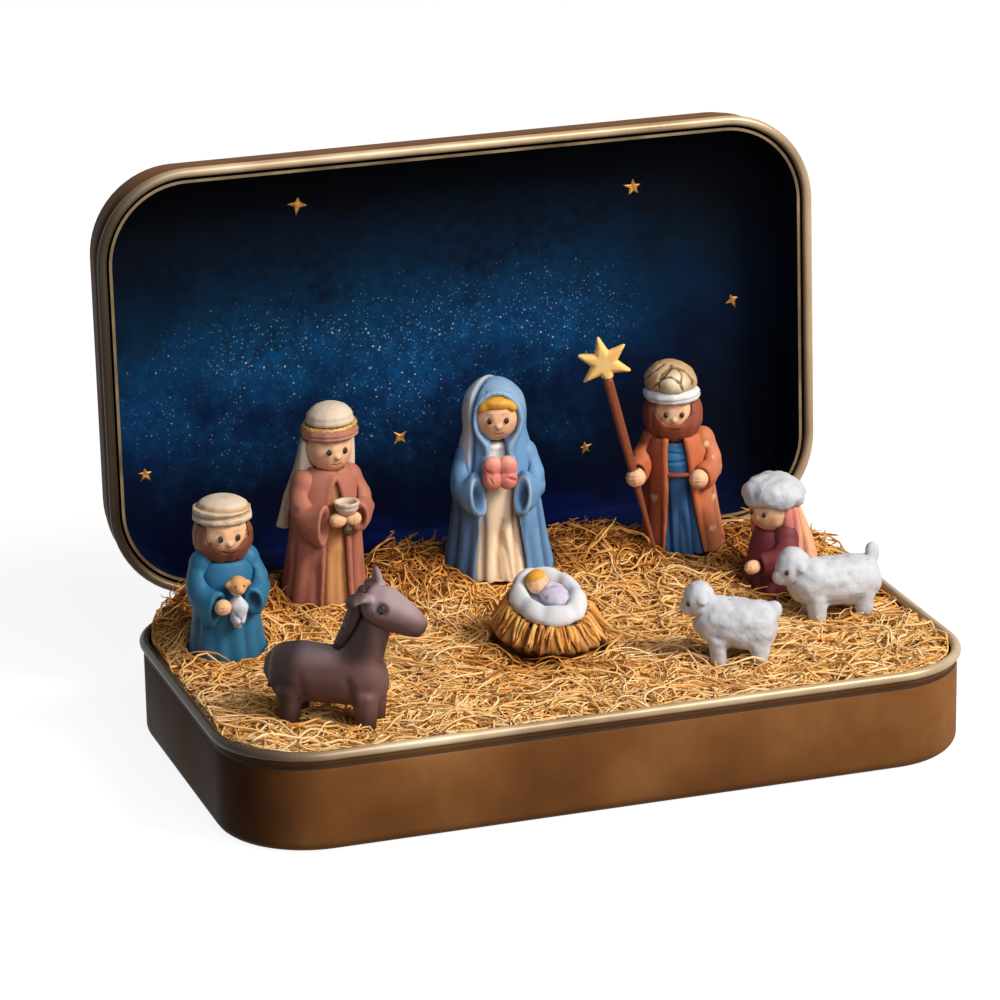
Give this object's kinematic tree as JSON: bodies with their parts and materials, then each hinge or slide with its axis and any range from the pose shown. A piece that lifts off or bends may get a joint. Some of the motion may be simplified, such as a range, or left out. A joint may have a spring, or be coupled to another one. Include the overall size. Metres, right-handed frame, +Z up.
{
  "type": "pocket nativity tin",
  "caption": "Hinged pocket tin with a straw bed, a night-sky lid and loose clay nativity figures that lift out.",
  "frame": {"origin": "centre of the flat underside of the tin", "axes": "+X along the long side, to the right in the picture; +Y towards the hinge; +Z up"},
  "size_m": [0.1, 0.0709, 0.072],
  "materials": {
    "bronzed_tinplate": "satin",
    "hinge_wire": "satin",
    "sky_card": "satin",
    "wood_wool": "matte",
    "clay_skin": "matte",
    "clay_cream": "matte",
    "clay_white": "matte",
    "clay_robe_blue": "matte",
    "clay_hair_brown": "matte",
    "clay_mauve": "matte",
    "clay_ochre": "matte",
    "clay_mantle_blue": "matte",
    "clay_dress_cream": "matte",
    "clay_hair_gold": "matte",
    "clay_rose": "matte",
    "clay_coat_rust": "matte",
    "clay_beard_rust": "matte",
    "clay_navy": "matte",
    "clay_turban_gold": "satin",
    "clay_staff_brown": "matte",
    "clay_star_gold": "matte",
    "clay_wine": "matte",
    "clay_scarf_rose": "matte",
    "clay_straw_gold": "matte",
    "clay_swaddle_blue": "matte",
    "clay_donkey_brown": "matte",
    "clay_mane_brown": "matte"
  },
  "bodies": {
    "tin_base": {"base_tray": "bronzed_tinplate", "straw_bed": "wood_wool", "hinge_pin_left": "hinge_wire", "hinge_pin_right": "hinge_wire"},
    "lid": {"lid_shell": "bronzed_tinplate", "sky_liner": "sky_card"},
    "shepherd": {"shepherd_robe": "clay_robe_blue", "shepherd_sleeve_left": "clay_robe_blue", "shepherd_sleeve_right": "clay_robe_blue", "shepherd_hand": "clay_skin", "shepherd_head": "clay_skin", "shepherd_beard": "clay_hair_brown", "shepherd_turban": "clay_cream", "shepherd_lamb": "clay_white"},
    "gift_bearer": {"bearer_gown": "clay_ochre", "bearer_coat": "clay_mauve", "bearer_sleeve_left": "clay_mauve", "bearer_sleeve_right": "clay_mauve", "bearer_hands": "clay_skin", "bearer_bowl": "clay_cream", "bearer_head": "clay_skin", "bearer_veil": "clay_cream", "bearer_cap": "clay_cream", "bearer_headband": "clay_mauve"},
    "mother": {"mother_dress": "clay_dress_cream", "mother_mantle": "clay_mantle_blue", "mother_sleeve_left": "clay_mantle_blue", "mother_sleeve_right": "clay_mantle_blue", "mother_hands": "clay_rose", "mother_head": "clay_skin", "mother_hair": "clay_hair_gold"},
    "king": {"king_tunic": "clay_navy", "king_coat": "clay_coat_rust", "king_sleeve_left": "clay_coat_rust", "king_sleeve_right": "clay_coat_rust", "king_hand_left": "clay_skin", "king_hand_right": "clay_skin", "king_head": "clay_skin", "king_beard": "clay_beard_rust", "king_turban_band": "clay_white", "king_turban": "clay_turban_gold", "king_staff": "clay_staff_brown", "king_star": "clay_star_gold"},
    "kneeling_shepherd": {"kneeler_robe": "clay_wine", "kneeler_sleeve": "clay_wine", "kneeler_hand": "clay_skin", "kneeler_head": "clay_skin", "kneeler_scarf": "clay_scarf_rose", "kneeler_cap": "clay_white"},
    "manger": {"manger_basket": "clay_straw_gold", "manger_blanket": "clay_white", "baby_swaddle": "clay_swaddle_blue", "baby_head": "clay_skin"},
    "front_sheep": {"front_sheep_body": "clay_white", "front_sheep_head": "clay_white"},
    "back_sheep": {"back_sheep_body": "clay_white", "back_sheep_head": "clay_white"},
    "donkey": {"donkey_body": "clay_donkey_brown", "donkey_head": "clay_donkey_brown", "donkey_mane": "clay_mane_brown"}
  },
  "joints": [
    {"name": "lid_hinge", "type": "hinge", "parent": "tin_base", "child": "lid", "pos_m": [0, 0.0299, 0.0132], "axis": [-1, 0, 0], "range_deg": [-27, 0]},
    {"name": "shepherd_lift", "type": "slide", "parent": "tin_base", "child": "shepherd", "axis": [0, 0, 1], "range_m": [0, 0.036]},
    {"name": "gift_bearer_lift", "type": "slide", "parent": "tin_base", "child": "gift_bearer", "axis": [0, 0, 1], "range_m": [0, 0.036]},
    {"name": "mother_lift", "type": "slide", "parent": "tin_base", "child": "mother", "axis": [0, 0, 1], "range_m": [0, 0.036]},
    {"name": "king_lift", "type": "slide", "parent": "tin_base", "child": "king", "axis": [0, 0, 1], "range_m": [0, 0.036]},
    {"name": "kneeling_shepherd_lift", "type": "slide", "parent": "tin_base", "child": "kneeling_shepherd", "axis": [0, 0, 1], "range_m": [0, 0.036]},
    {"name": "manger_lift", "type": "slide", "parent": "tin_base", "child": "manger", "axis": [0, 0, 1], "range_m": [0, 0.036]},
    {"name": "front_sheep_lift", "type": "slide", "parent": "tin_base", "child": "front_sheep", "axis": [0, 0, 1], "range_m": [0, 0.036]},
    {"name": "back_sheep_lift", "type": "slide", "parent": "tin_base", "child": "back_sheep", "axis": [0, 0, 1], "range_m": [0, 0.036]},
    {"name": "donkey_lift", "type": "slide", "parent": "tin_base", "child": "donkey", "axis": [0, 0, 1], "range_m": [0, 0.036]}
  ]
}
